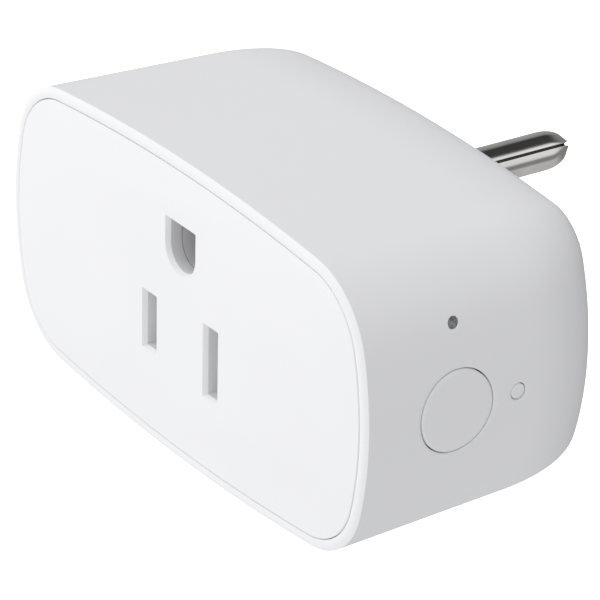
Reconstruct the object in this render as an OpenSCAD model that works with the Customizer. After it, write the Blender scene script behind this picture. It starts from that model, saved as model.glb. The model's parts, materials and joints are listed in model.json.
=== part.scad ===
// Plug-through energy meter: a one-outlet adapter that switches and measures its load.
// Frame: +Z up, +Y into the wall, +X to the right of someone who looks at the socket face.
// The origin is the centre of the flat back face. All sizes are in millimetres.

/* [Body] */
// Width of the body at the socket face
body_w = 73.5; // [72:0.5:78]
// Height of the body at the socket face
body_h = 37.4; // [36.6:0.2:40]
// Depth of the body without its blades
body_d = 33.7; // [33.7:0.1:36]
// Radius of the corners of the socket face
corner_r = 10.4; // [9:0.2:11]
// Radius of the slight bow of the top and bottom
bow_top_r = 273; // [200:1:400]
// Radius of the bow of the two sides
bow_side_r = 38.4; // [34:0.2:60]
// Wall thickness of the shell
wall = 2.0; // [1.8:0.1:2.2]

/* [Outlet and blades] */
// Distance between the two blade slots
blade_pitch = 12.7; // [12.7:0.1:12.7]
// Distance from the blade line up to the ground hole
ground_rise = 11.89; // [11.89:0.01:11.89]
// Height of the blade line over the middle of the body
blade_line_z = -3.82; // [-4.2:0.02:-3.4]
// Length of the two blades in front of the back face
blade_len = 17.3; // [16:0.1:18]
// Length of the ground pin in front of the back face
pin_len = 19.2; // [18.5:0.1:21.0]
// Diameter of the ground pin
pin_d = 4.65; // [4.6:0.05:4.8]

/* [Buttons and light] */
// Diameter of the main button's hole
button_hole_d = 10.0; // [9:0.5:11]
// Diameter of the reset button's hole
reset_hole_d = 2.05; // [1.8:0.05:2.4]
// Gap all round each button
button_gap = 0.15; // [0.1:0.01:0.2]
// Diameter of the light's hole
light_hole_d = 1.4; // [1.2:0.1:1.8]

/* [Hidden] */
$fn = 48;
eps = 0.01;

// Body surface
front_y = -body_d;
taper_w = 0.048;        // loss of half width for each millimetre of depth
taper_h = 0.031;        // loss of half height for each millimetre of depth
rear_round_d = 10.6;    // depth over which the rear edge rounds off
rear_round_x = 4.7;     // inset of the rear edge on the sides
rear_round_z = 1.95;    // inset of the rear edge at the top and bottom
rim_w = 1.37;           // flat rim round the front plate
rim_round_w = 0.65;
rim_round_d = 0.4;
back_wall = 2.2;
plate_t = 2.0;
plate_gap = 0.15;
arc_steps = 5;          // facets of each arc of a quarter outline

// Outlet
hot_x = -blade_pitch / 2;
neutral_x = blade_pitch / 2;
ground_z = blade_line_z + ground_rise;
slot_w = 2.46;
hot_slot_h = 6.95;
neutral_slot_h = 8.64;
lead_in = 0.3;
lead_in_d = 0.57;
ground_hole_w = 5.6;
ground_hole_top = 2.55;     // flat top over the hole's centre
ground_arc_drop = 0.34;     // the round bottom is centred this much lower

// Side controls, from the front face and the middle height
button_y = front_y + 12.38;
button_z = 0.15;
reset_y = front_y + 20.8;
light_z = 10.25;
button_travel = 0.4;
reset_travel = 0.3;

// Fastening
screw_x = 22.5;
screw_z = 12.1;
boss_d = 6;
boss_front_y = -14.2;
screw_head_y = -11.2;

// Contact carrier and shutter
carrier_x = 12.6;
carrier_low_z = -11.0;
carrier_high_z = 13.2;
carrier_front_y = front_y + plate_t + 0.1;
carrier_back_y = -12.4;
pocket_y = -28.4;
shutter_travel = 2.8;
shutter_t = 2.8;
shutter_front_y = carrier_front_y + 0.2;
cavity_y = -26.6;
spring_r = 0.95;
spring_wire_d = 0.3;
spring_left_x = -4.6;
spring_right_x = 0.7;
spring_y = -30.0;
spring_z = -4.0;

// Boards
board_front_y = -9.6;
board_t = 1.6;
board_back_y = board_front_y + board_t;
control_x = 26.6;
control_t = 1.0;
switch_x = control_x + control_t;

// Blades
blade_t = 1.52;
hot_blade_w = 6.35;
neutral_blade_w = 7.94;
flange_y = -3.4;
// The pin's neck through the back wall, and the shallow recess around its root
pin_neck_r = pin_d / 2 - 0.4;
neck_end = 0.3;
root_recess = 0.5;
tail_w = 4.0;
tail_end_y = -10.6;

// Where the wire leads pass through the main board, as [x, z]
film_leads = [[-28.2, -5], [-28.2, 5]];
varistor_leads = [[-29.2, 8.1], [-26.0, 8.9]];
fuse_leads = [[-28.4, -9.6]];
capacitor_x = 16.2;
capacitor_leads = [for (z = [-11.2, 11.2], x = [-1.25, 1.25]) [capacitor_x + x, z]];
transformer_leads = [for (x = [17.2, 19.6, 22.0], z = [-4.9, 4.9]) [x, z]];
lead_places = concat(film_leads, varistor_leads, fuse_leads, capacitor_leads, transformer_leads);

// Relay, standing on the main board
relay_x0 = -23.6;
relay_x1 = -13.6;
relay_z = 8;
relay_top_y = -24.8;
relay_mid_x = (relay_x0 + relay_x1) / 2;
coil_y = -17.0;
hinge_y = -22.2;
hinge_z = 4.65;
pivot_d = 0.8;

// ---------- helpers ----------

// A box from one corner to the other
module span(low, high) {
    translate(low) cube(high - low);
}

// A cylinder along X, from x0 to x1
module rod_x(x0, x1, d, y, z) {
    translate([x0, y, z]) rotate([0, 90, 0]) cylinder(h = x1 - x0, d = d);
}

// A cylinder along Y, from y0 to y1
module rod_y(y0, y1, d, x, z) {
    translate([x, y1, z]) rotate([90, 0, 0]) cylinder(h = y1 - y0, d = d);
}

// A cylinder along Z, from z0 to z1
module rod_z(z0, z1, d, x, y) {
    translate([x, y, z0]) cylinder(h = z1 - z0, d = d);
}

// Turns a drawing in the XZ plane into a plate from y0 to y1
module plate_y(y0, y1) {
    translate([0, y1, 0]) rotate([90, 0, 0]) linear_extrude(y1 - y0) children();
}

// A rectangle with round corners, centred
module round_rect(w, h, r) {
    for (x = [-1, 1], y = [-1, 1]) translate([x * (w / 2 - r), y * (h / 2 - r)]) circle(r);
    square([w - 2 * r, h], center = true);
    square([w, h - 2 * r], center = true);
}

function arc(c, r, a0, a1, n) = [
    for (i = [0:n - 1]) let (a = a0 + (a1 - a0) * i / n) c + r * [cos(a), sin(a)]
];

// One quarter of the bowed outline, from (a, 0) to just before (0, b).
// The side arc, the corner arc and the top arc are tangent; k takes the same inset off each radius.
function quarter(a, b, k, n) =
    let (
        r = corner_r - k,
        r_top = bow_top_r - k,
        r_side = bow_side_r - k,
        c_top = [0, b - r_top],
        c_side = [a - r_side, 0],
        along = c_side - c_top,
        d = norm(along),
        e = along / d,
        t = (pow(r_top - r, 2) - pow(r_side - r, 2) + d * d) / (2 * d),
        h = sqrt(pow(r_top - r, 2) - t * t),
        c = c_top + t * e + h * [e[1], -e[0]],
        a_side = atan2(c[1], c[0] - c_side[0]),
        a_top = atan2(c[1] - c_top[1], c[0])
    )
    concat(
        arc(c_side, r_side, 0, a_side, n),
        arc(c, r, a_side, a_top, n + 1),
        arc(c_top, r_top, a_top, 90, n)
    );

function reversed(list) = [for (i = [len(list) - 1:-1:0]) list[i]];

// The whole outline, counter-clockwise from (a, 0)
function outline(a, b, k, n = arc_steps) =
    let (q = quarter(a, b, k, n), m = len(q))
    concat(
        q,
        [[0, b]],
        [for (i = [m - 1:-1:0]) [-q[i][0], q[i][1]]],
        [for (i = [1:m - 1]) -q[i]],
        [[0, -b]],
        [for (i = [m - 1:-1:1]) [q[i][0], -q[i][1]]]
    );

// The section at depth s behind the socket face, inset by k and by more on the sides (x) and top (z)
function section(s, k, x = 0, z = 0) =
    let (
        dx = k + taper_w * s + x,
        dz = k + taper_h * s + z
    )
    outline(body_w / 2 - dx, body_h / 2 - dz, (dx + dz) / 2);

function ring(s, k, x = 0, z = 0) = [for (p = section(s, k, x, z)) [p[0], front_y + s, p[1]]];

// A closed solid through rings of equal length, with a flat cap at each end
module skin(rings) {
    n = len(rings[0]);
    m = len(rings);
    polyhedron(
        points = [for (r = rings, p = r) p],
        faces = concat(
            [[for (i = [0:n - 1]) i]],
            [for (j = [0:m - 2], i = [0:n - 1]) [j * n + i, (j + 1) * n + i, (j + 1) * n + (i + 1) % n]],
            [for (j = [0:m - 2], i = [0:n - 1])
                [j * n + i, (j + 1) * n + (i + 1) % n, j * n + (i + 1) % n]],
            [[for (i = [n - 1:-1:0]) (m - 1) * n + i]]
        )
    );
}

// The ground hole's outline: round below, flat on top, grown by g
module ground_outline(g = 0) {
    r = ground_hole_w / 2 + g;
    translate([0, ground_z - ground_arc_drop]) circle(r);
    translate([-r, ground_z - ground_arc_drop])
        square([2 * r, ground_hole_top + ground_arc_drop + g]);
}

module slot_outline(x, h, g = 0) {
    translate([x, blade_line_z]) square([slot_w + 2 * g, h + 2 * g], center = true);
}

module socket_outlines(g = 0) {
    slot_outline(hot_x, hot_slot_h, g);
    slot_outline(neutral_x, neutral_slot_h, g);
    ground_outline(g);
}

// Wire leads that start inside a part and end behind the main board
module leads(places, y0, d) {
    for (p = places) rod_y(y0, -7.4, d, p[0], p[1]);
}

module at_screws() {
    for (x = [-1, 1], z = [-1, 1]) translate([x * screw_x, 0, z * screw_z]) children();
}

module at_screws_flat() {
    for (x = [-1, 1], z = [-1, 1]) translate([x * screw_x, z * screw_z]) children();
}

// ---------- casing ----------

round_steps = 7;
round_start = body_d - rear_round_d;
front_rings = [
    ring(0, rim_round_w),
    ring(rim_round_d * 0.3, rim_round_w * 0.3),
    ring(rim_round_d, 0)
];
rear_rings = [for (i = [0:round_steps])
    let (a = 90 * i / round_steps)
    ring(round_start + rear_round_d * sin(a), 0,
        rear_round_x * (1 - cos(a)), rear_round_z * (1 - cos(a)))];

// One step of the space inside, from depth s0 to s1; the walls get thicker towards the back
module inner_step(s0, s1, k, x = 0, z = 0, bosses = true) {
    plate_y(front_y + s0, front_y + s1) difference() {
        polygon(section(s1, k, x, z));
        if (bosses) at_screws_flat() circle(d = boss_d);
    }
}

module housing_shell() {
    boss_s = body_d + boss_front_y;
    color("whitesmoke") difference() {
        skin(concat(front_rings, rear_rings));
        plate_y(front_y - 1, front_y + plate_t) polygon(section(0, rim_w));
        inner_step(plate_t - eps, 12, wall, bosses = false);
        inner_step(12 - eps, boss_s, wall, bosses = false);
        inner_step(boss_s - eps, 25, wall, 0.1, 0.05);
        inner_step(25 - eps, 28.5, wall, 0.7, 0.3);
        inner_step(28.5 - eps, body_d - back_wall, wall, 1.9, 0.8);
        rod_x(30, 40, button_hole_d, button_y, button_z);
        rod_x(30, 40, reset_hole_d, reset_y, button_z);
        rod_x(30, 40, light_hole_d, button_y, light_z);
        at_screws() {
            rod_y(screw_head_y, 1, 4.6, 0, 0);
            rod_y(boss_front_y - 1, 1, 2.6, 0, 0);
        }
        for (z = [-6.6, 1.6]) rod_y(-4, -0.9, 1.6, 0, z);
        blade_hole(hot_x, hot_blade_w);
        blade_hole(neutral_x, neutral_blade_w);
        rod_y(-3, 1, 2 * pin_neck_r + 0.1, 0, ground_z);
        rod_y(-root_recess, 1, pin_d + 0.6, 0, ground_z);
    }
}

module blade_hole(x, w) {
    span([x - blade_t / 2 - 0.05, -3, blade_line_z - w / 2 - 0.05],
        [x + blade_t / 2 + 0.05, 1, blade_line_z + w / 2 + 0.05]);
}

// A lead-in that narrows from the front face to the slot, as a box with sloped sides
module lead_in_box(x, h) {
    w = slot_w / 2;
    g = lead_in;
    z0 = h / 2;
    translate([x, front_y, blade_line_z]) polyhedron(
        points = [
            [-w - g, 0, -z0 - g], [w + g, 0, -z0 - g], [w + g, 0, z0 + g], [-w - g, 0, z0 + g],
            [-w, lead_in_d, -z0], [w, lead_in_d, -z0], [w, lead_in_d, z0], [-w, lead_in_d, z0]
        ],
        faces = [[0, 3, 2, 1], [4, 5, 6, 7], [0, 1, 5, 4], [1, 2, 6, 5], [2, 3, 7, 6], [3, 0, 4, 7]]
    );
}

module front_plate() {
    k = rim_w + plate_gap;
    low_k = k + 0.06;
    points = outline(body_w / 2 - k, body_h / 2 - k, k, 8);
    low = outline(body_w / 2 - low_k, body_h / 2 - low_k, low_k, 8);
    color("white") difference() {
        union() {
            plate_y(front_y, front_y + 1.0) polygon(points);
            plate_y(front_y + 1.0, front_y + plate_t) polygon(low);
            at_screws() rod_y(front_y + plate_t - 0.5, boss_front_y - 0.1, 4.8, 0, 0);
            // Two ribs that stiffen the plate beside the carrier
            for (x = [-1, 1]) span([x * 14.3 - 0.5, front_y + plate_t - 0.5, -13.4],
                [x * 14.3 + 0.5, front_y + plate_t + 1.6, 13.4]);
        }
        plate_y(front_y - 1, front_y + plate_t + 1) socket_outlines();
        lead_in_box(hot_x, hot_slot_h);
        lead_in_box(neutral_x, neutral_slot_h);
        plate_y(front_y - 1, front_y + 0.3) ground_outline(lead_in * 0.8);
        at_screws() rod_y(-26, 0, 2.2, 0, 0);
    }
}

// The side surface near the controls: a bowed cylinder that leans with the taper
module side_surface(inset = 0) {
    r = bow_side_r - inset;
    lean = atan(taper_w);
    translate([body_w / 2 - taper_w * (button_y - front_y) - bow_side_r, button_y, 0])
        rotate([0, 0, lean]) rotate([90, 0, 0]) cylinder(h = 60, r = r, center = true, $fn = 96);
}

module main_button() {
    d = button_hole_d - 2 * button_gap;
    color("gainsboro") intersection() {
        side_surface();
        difference() {
            union() {
                rod_x(32.6, 40, d, button_y, button_z);
                rod_x(32.6, 33.3, 11.4, button_y, button_z);
            }
            difference() {
                rod_x(32, 34.6, 7.4, button_y, button_z);
                rod_x(31, 35, 3.0, button_y, button_z);
            }
        }
    }
    color("gainsboro") rod_x(31.95, 33.0, 3.0, button_y, button_z);
}

module reset_button() {
    color("gainsboro") intersection() {
        side_surface();
        union() {
            rod_x(29.95, 40, reset_hole_d - 2 * 0.12, reset_y, button_z);
            rod_x(32.5, 33.1, 3.2, reset_y, button_z);
        }
    }
}

module light_pipe() {
    color("dimgray") {
        rod_x(31.2, 34.15, light_hole_d - 0.1, button_y, light_z);
        rod_x(28.8, 31.4, 2.6, button_y, light_z);
    }
}

// ---------- outlet ----------

module contact_carrier() {
    color("ivory") difference() {
        span([-carrier_x, carrier_front_y, carrier_low_z], [carrier_x, carrier_back_y, carrier_high_z]);
        difference() {
            span([-11.6, carrier_front_y - 1, -9.6], [11.4, pocket_y, 1.9]);
            span([spring_right_x, carrier_front_y + 0.3, -5.0],
                [spring_right_x + 1, pocket_y + 1, -3.0]);
        }
        plate_y(pocket_y - 1, cavity_y + 1) {
            slot_outline(hot_x, hot_slot_h, 0.15);
            slot_outline(neutral_x, neutral_slot_h, 0.15);
        }
        for (x = [hot_x, neutral_x]) span([x - 2.6, cavity_y, -8.4], [x + 2.6, 0, 0.9]);
        plate_y(carrier_front_y - 1, cavity_y + 1) ground_outline();
        span([-4.2, -27.4, 4.0], [4.2, 0, 12.9]);
    }
}

module carrier_cap() {
    color("ivory") difference() {
        span([-carrier_x, carrier_back_y, carrier_low_z], [carrier_x, -10.9, carrier_high_z]);
        for (s = [-1, 1])
            span([s * 7.95 - 0.5, -14, blade_line_z - 1.7],
                [s * 7.95 + 0.5, 0, blade_line_z + 1.7]);
        span([-2.2, -14, 11.8], [2.2, 0, 12.95]);
        rod_y(-14, 0, 5.4, 0, ground_z);
    }
}

// A plate with a window and a ramp for each blade, and a pocket for the spring
module shutter() {
    back_y = shutter_front_y + shutter_t;
    color("lightgray") difference() {
        span([-11.4, shutter_front_y, -9.4], [8.2, back_y, 1.7]);
        for (x = [hot_x, neutral_x]) {
            window_x = x - shutter_travel;
            span([window_x - 1.25, -40, -8.9], [window_x + 1.25, 0, 1.2]);
            translate([0, 0, -8.9]) linear_extrude(10.1) polygon([
                [window_x + 1.2, shutter_front_y - 1], [x + 1.1, shutter_front_y - 1],
                [x + 1.1, shutter_front_y], [window_x + 1.2, shutter_front_y + 2.0]
            ]);
        }
        span([spring_left_x, -40, -5.3], [spring_right_x + 1.2, 0, -2.7]);
    }
}

// A wire coil along X, swept as a polyhedron
module shutter_spring() {
    turns = 5;
    per_turn = 12;
    sides = 6;
    count = turns * per_turn;
    x0 = spring_left_x + spring_wire_d;
    x1 = spring_right_x - spring_wire_d;
    rings = [for (i = [0:count])
        let (
            a = 360 * i / per_turn,
            c = [x0 + (x1 - x0) * i / count, spring_y + spring_r * cos(a), spring_z + spring_r * sin(a)]
        )
        [for (k = [0:sides - 1])
            let (
                w = 360 * k / sides,
                out = spring_wire_d / 2 * cos(w)
            )
            c + [spring_wire_d / 2 * sin(w), out * cos(a), out * sin(a)]]];
    color("silver") skin(rings);
}

// Two leaves that pinch one blade, a base, and a tail to the main board
module blade_contact(x, side) {
    leaf = [
        [1.85, -12.6], [1.85, -16.2], [1.05, -23.2], [1.95, -26.1],
        [1.45, -26.3], [0.55, -23.3], [1.35, -16.1], [1.35, -13.1]
    ];
    translate([x, 0, blade_line_z - 3.3]) linear_extrude(6.6) {
        for (m = [0, 1]) mirror([m, 0]) polygon(leaf);
        translate([-1.85, -13.2]) square([3.7, 0.6]);
    }
    span([x + side * 1.6 - 0.25, -13.0, blade_line_z - 1.5],
        [x + side * 1.6 + 0.25, -7.4, blade_line_z + 1.5]);
}

module hot_contact() {
    color("goldenrod") blade_contact(hot_x, -1);
}

module neutral_contact() {
    color("goldenrod") blade_contact(neutral_x, 1);
}

module ground_contact() {
    leaf = [
        [3.1, -12.6], [3.1, -16.4], [2.7, -22.6], [3.3, -26.2],
        [2.8, -26.3], [2.16, -22.7], [2.6, -16.3], [2.6, -13.2]
    ];
    color("goldenrod") {
        translate([0, 0, ground_z - 2.5]) linear_extrude(5)
            for (m = [0, 1]) mirror([m, 0]) polygon(leaf);
        difference() {
            span([-3.1, -13.2, ground_z - 2.5], [3.1, -12.6, 12.8]);
            rod_y(-14, -12, 5.1, 0, ground_z);
        }
        span([-2, -13.1, 12.0], [2, -5.3, 12.8]);
    }
}

// ---------- blades, pin and their fixing ----------

// A flat blade with a chamfered end, a hole, a shoulder behind the back wall and a tail to the board
module blade(x, w) {
    nose = 1.2;
    translate([x - blade_t / 2, 0, blade_line_z])
        rotate([90, 0, 90]) linear_extrude(blade_t) difference() {
        union() {
            polygon([
                [flange_y, -w / 2], [blade_len - nose, -w / 2], [blade_len, -w / 2 + nose],
                [blade_len, w / 2 - nose], [blade_len - nose, w / 2], [flange_y, w / 2]
            ]);
            translate([flange_y, -w / 2 - 1.2]) square([-back_wall - 0.05 - flange_y, w + 2.4]);
            translate([tail_end_y, -tail_w / 2]) square([flange_y - tail_end_y + 0.5, tail_w]);
        }
        translate([blade_len - 4.4, 0]) circle(d = 3.2);
    }
}

module hot_blade() {
    color("silver") blade(hot_x, hot_blade_w);
}

module neutral_blade() {
    color("silver") blade(neutral_x, neutral_blade_w);
}

// A round pin with a blunt nose and the cleft where its rolled sheet closes at the tip
module ground_pin() {
    r = pin_d / 2;
    tip_r = 1.2;
    inner_end = -6.6;
    flange_back = -back_wall - 0.05;
    nose = 2.4;
    tail = [[0, inner_end], [1.5, inner_end], [1.5, flange_y]];
    flange = [[3.6, flange_y], [3.6, flange_back], [pin_neck_r, flange_back]];
    step = [[pin_neck_r, neck_end], [r, neck_end]];
    round_nose = [for (a = [0:15:90])
        [tip_r + (r - tip_r) * cos(a), pin_len - nose + nose * sin(a)]];
    color("silver") difference() {
        translate([0, 0, ground_z]) rotate([-90, 0, 0]) rotate_extrude($fn = 72)
            polygon(concat(tail, flange, step, round_nose, [[0, pin_len]]));
        // The seam of the rolled pin, open at its nose
        translate([0, pin_len, ground_z]) rotate([0, 35, 0]) span([-0.25, -1.2, -2], [0.25, 1.8, 2]);
    }
}

module blade_retainer() {
    color("dimgray") difference() {
        span([-10.5, -5.2, -9.5], [10.5, -3.5, 12.3]);
        for (x = [hot_x, neutral_x])
            span([x - 0.9, -6, blade_line_z - 2.15], [x + 0.9, 0, blade_line_z + 2.15]);
        rod_y(-6, 0, 3.3, 0, ground_z);
        for (z = [-6.6, 1.6]) rod_y(-6, 0, 2.0, 0, z);
    }
}

module retainer_screws() {
    color("silver") for (z = [-6.6, 1.6]) {
        difference() {
            rod_y(-6.4, -5.2, 3.6, 0, z);
            span([-1.3, -7, z - 0.2], [1.3, -6.0, z + 0.2]);
            span([-0.2, -7, z - 1.3], [0.2, -6.0, z + 1.3]);
        }
        rod_y(-5.3, -1.4, 1.55, 0, z);
    }
}

module ground_strap() {
    color("goldenrod") difference() {
        span([-4, -6.0, 4.6], [4, -5.2, 14.2]);
        rod_y(-7, -5, 3.1, 0, ground_z);
        span([-2.1, -7, 11.9], [2.1, -5, 12.9]);
    }
}

module case_screws() {
    color("silver") at_screws() {
        difference() {
            rod_y(screw_head_y, screw_head_y + 1.9, 4.2, 0, 0);
            // Three-sided security recess
            translate([0, screw_head_y + 2.5, 0]) rotate([90, 0, 0]) cylinder(h = 1.8, d = 2.4, $fn = 3);
        }
        rod_y(-24.5, screw_head_y + 0.1, 2.15, 0, 0);
    }
}

// ---------- main board ----------

module main_board() {
    color("darkgreen") difference() {
        plate_y(board_front_y, board_back_y) round_rect(62, 28.6, 8);
        at_screws() rod_y(-12, -5, 6.6, 0, 0);
        for (s = [-1, 1]) {
            span([s * blade_pitch / 2 - 0.86, -12, blade_line_z - 2.1],
                [s * blade_pitch / 2 + 0.86, 0, blade_line_z + 2.1]);
            span([s * 7.95 - 0.4, -12, blade_line_z - 1.6], [s * 7.95 + 0.4, 0, blade_line_z + 1.6]);
        }
        span([-2.15, -12, 11.85], [2.15, 0, 12.95]);
        for (i = [-2:2]) rod_y(-12, 0, 1.0, 26.1, 2 * i);
        for (x = [-1, 0, 1]) rod_y(-12, 0, 1.9, relay_mid_x + 2.6 * x, 2.65);
        for (p = lead_places) rod_y(-12, 0, 0.9, p[0], p[1]);
    }
}

module relay_base() {
    color("black") difference() {
        span([relay_x0 + 0.7, -11.6, -relay_z + 0.7], [relay_x1 - 0.7, -9.8, relay_z - 0.7]);
        for (x = [-1, 0, 1])
            span([relay_mid_x + 2.6 * x - 0.9, -12, 2.3],
                [relay_mid_x + 2.6 * x + 0.9, -9, 3.0]);
    }
}

module relay_cover() {
    color("dimgray") difference() {
        span([relay_x0, relay_top_y, -relay_z], [relay_x1, -10.4, relay_z]);
        span([relay_x0 + 0.6, relay_top_y + 0.6, -relay_z + 0.6], [relay_x1 - 0.6, 0, relay_z - 0.6]);
    }
}

module relay_bobbin() {
    color("ivory") difference() {
        union() {
            rod_z(-6.3, -5.7, 6.2, relay_mid_x, coil_y);
            rod_z(2.6, 3.2, 6.2, relay_mid_x, coil_y);
            rod_z(-6.2, 3.1, 4.2, relay_mid_x, coil_y);
        }
        rod_z(-8, 6, 3.2, relay_mid_x, coil_y);
    }
}

module relay_winding() {
    color("peru") difference() {
        rod_z(-5.68, 2.58, 5.8, relay_mid_x, coil_y);
        rod_z(-8, 6, 4.24, relay_mid_x, coil_y);
    }
}

// The coil's core, the frame round it, and the pivot that two ears hold
module relay_yoke() {
    color("silver") {
        rod_z(-7.0, 3.9, 3.1, relay_mid_x, coil_y);
        span([-22, -22.0, -7.2], [-15.2, -14.0, -6.5]);
        span([-22, -22.0, -7.2], [-15.2, -21.2, 3.5]);
        for (x = [-22, -15.8]) span([x, -22.7, 2.8], [x + 0.6, -21.2, hinge_z + 0.7]);
        rod_x(-22, -15.2, pivot_d, hinge_y, hinge_z);
    }
}

// A plate with a rolled eye round the pivot and the moving contact at its other end
module relay_armature() {
    color("silver") difference() {
        union() {
            rod_x(-21.3, -15.9, 1.8, hinge_y, hinge_z);
            span([-21.3, hinge_y, hinge_z - 0.35], [-15.9, -12.4, hinge_z + 0.35]);
            rod_z(hinge_z - 0.85, hinge_z, 1.2, relay_mid_x, -13.0);
        }
        rod_x(-23, -14, pivot_d + 0.06, hinge_y, hinge_z);
    }
}

module relay_terminals() {
    color("goldenrod") {
        for (x = [-1, 0, 1])
            span([relay_mid_x + 2.6 * x - 0.8, x == 0 ? -13.7 : -12.2, 2.4],
                [relay_mid_x + 2.6 * x + 0.8, -7.3, 2.9]);
        rod_z(2.8, 3.3, 1.2, relay_mid_x, -13.0);
    }
}

module film_capacitor() {
    color("goldenrod") span([-31.4, -21.6, -6.5], [-25.0, -9.9, 6.5]);
    color("silver") leads(film_leads, -10, 0.7);
}

module varistor() {
    color("royalblue") rod_z(7.2, 9.8, 6.4, -27.6, -15.6);
    color("silver") leads(varistor_leads, -13.4, 0.6);
}

module fuse() {
    color("seagreen") rod_y(-21, -12, 3.4, fuse_leads[0][0], fuse_leads[0][1]);
    color("silver") leads(fuse_leads, -12.1, 0.6);
}

module electrolytic_capacitors() {
    can_d = 6.3;
    front = -20.9;
    color("black") for (z = [-11.2, 11.2]) difference() {
        rod_y(front, -9.9, can_d, capacitor_x, z);
        // The bead rolled into the can
        difference() {
            rod_y(front + 0.9, front + 1.3, can_d + 0.7, capacitor_x, z);
            rod_y(front, front + 2, can_d - 0.6, capacitor_x, z);
        }
        // The vent cross stamped in its end
        for (w = [[2.2, 0.15], [0.15, 2.2]])
            span([capacitor_x - w[0], front - 0.1, z - w[1]],
                [capacitor_x + w[0], front + 0.2, z + w[1]]);
    }
    color("silver") leads(capacitor_leads, -10, 0.6);
}

module inductor_core() {
    color("dimgray") {
        rod_y(-17, -15.6, 5.9, -16.6, -11.2);
        rod_y(-11.3, -9.9, 5.9, -16.6, -11.2);
        rod_y(-16, -11, 3.2, -16.6, -11.2);
    }
}

module inductor_winding() {
    color("peru") difference() {
        rod_y(-15.55, -11.35, 5.4, -16.6, -11.2);
        rod_y(-17, -10, 3.25, -16.6, -11.2);
    }
}

module transformer_core() {
    color("dimgray") difference() {
        span([14.2, -21.0, -2.6], [25.0, -11.3, 2.6]);
        span([16.0, -19.2, -4], [18.4, -13.1, 4]);
        span([20.8, -19.2, -4], [23.2, -13.1, 4]);
    }
}

module transformer_bobbin() {
    color("black") {
        difference() {
            union() {
                span([16.1, -19.1, -5.9], [23.1, -18.5, 5.9]);
                span([16.1, -13.8, -5.9], [23.1, -13.2, 5.9]);
                span([17.8, -19.0, -3.2], [21.4, -13.3, 3.2]);
            }
            span([18.35, -20, -2.65], [20.85, -12, 2.65]);
        }
        for (s = [-1, 1]) span([16.1, -13.5, s * 4.9 - 1.0], [23.1, -9.9, s * 4.9 + 1.0]);
    }
    color("silver") leads(transformer_leads, -10, 0.7);
}

module transformer_winding() {
    color("khaki") difference() {
        span([16.2, -18.45, -5.6], [23.0, -13.85, 5.6]);
        span([17.75, -20, -3.25], [21.45, -12, 3.25]);
    }
}

// A small chip on the back of the main board, with gull-wing leads on two sides
module chip(x, z, w, h, t, leads) {
    color("black") span([x - w / 2, board_back_y + 0.1, z - h / 2],
        [x + w / 2, board_back_y + 0.1 + t, z + h / 2]);
    pitch = w / leads;
    color("silver") for (i = [0:leads - 1], s = [-1, 1]) {
        lead_x = x - w / 2 + pitch * (i + 0.5);
        near_z = z + s * (h / 2 - 0.05);
        far_z = z + s * (h / 2 + 0.9);
        span([lead_x - 0.2, board_back_y, min(near_z, far_z)],
            [lead_x + 0.2, board_back_y + 0.3, max(near_z, far_z)]);
    }
}

module bridge_rectifier() {
    chip(20.9, 0, 5.2, 4.2, 2.0, 2);
}

module power_chip() {
    chip(14.6, 0, 4.9, 3.9, 1.5, 4);
}

module metering_chip() {
    chip(-18.2, 6.0, 4.9, 3.9, 1.5, 4);
}

module current_shunt() {
    color("gray") difference() {
        span([-15.6, board_back_y, -9.6], [-9.2, board_back_y + 1.4, -6.6]);
        span([-14.2, board_back_y - 1, -11], [-10.6, board_back_y + 0.9, -6]);
    }
}

module small_chips() {
    for (i = [0:5], j = [0:1]) {
        x = -29.5 + 2.1 * i;
        z = -2.6 + 2.2 * j;
        color(j == 0 ? "black" : "peru")
            span([x - 0.8, board_back_y, z - 0.4], [x + 0.8, board_back_y + 0.5, z + 0.4]);
    }
    for (i = [0:3]) color("black")
        span([28.2, board_back_y, -6.3 + 3 * i], [29.0, board_back_y + 0.5, -4.7 + 3 * i]);
}

// ---------- control board ----------

module control_board() {
    color("darkgreen") difference() {
        span([control_x, -31, -13.2], [switch_x, -10.8, 13.2]);
        rod_x(26, 28, 2.0, -29, 11.2);
        rod_x(26, 28, 2.0, -29, -11.2);
    }
}

module radio_shield() {
    color("silver") difference() {
        span([control_x - 1.7, -30.5, -6], [control_x, -21.8, 6]);
        span([control_x - 1.5, -30.3, -5.8], [control_x + 1, -22.0, 5.8]);
    }
}

// A folded strip on the inner face of the control board
module antenna_trace() {
    color("goldenrod") {
        for (i = [0:4]) span([control_x - 0.1, -30 + 1.8 * i, 7], [control_x, -29.4 + 1.8 * i, 10]);
        for (i = [0:3]) {
            z = i % 2 == 0 ? 9.4 : 7;
            span([control_x - 0.1, -30 + 1.8 * i, z], [control_x, -27.6 + 1.8 * i, z + 0.6]);
        }
    }
}

module header_pins() {
    color("goldenrod") for (i = [-2:2]) span([25.8, -14, 2 * i - 0.3], [26.4, -7.3, 2 * i + 0.3]);
    color("black") difference() {
        span([25.5, -13.0, -5.2], [26.58, -10.9, 5.2]);
        for (i = [-2:2]) span([25.8 - eps, -14, 2 * i - 0.3 - eps], [26.4 + eps, -7, 2 * i + 0.3 + eps]);
    }
}

module main_switch_body() {
    color("dimgray") difference() {
        span([switch_x, button_y - 3, button_z - 3], [switch_x + 3.5, button_y + 3, button_z + 3]);
        rod_x(switch_x + 1.7, 40, 3.6, button_y, button_z);
    }
}

module main_switch_plunger() {
    color("black") rod_x(switch_x + 2.3, 31.9, 3.4, button_y, button_z);
}

module reset_switch_body() {
    color("dimgray") difference() {
        span([switch_x, reset_y - 2, button_z - 1.5], [switch_x + 1.8, reset_y + 2, button_z + 1.5]);
        rod_x(switch_x + 0.4, 40, 1.8, reset_y, button_z);
    }
}

module reset_switch_plunger() {
    color("black") rod_x(switch_x + 0.9, 29.9, 1.6, reset_y, button_z);
}

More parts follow.
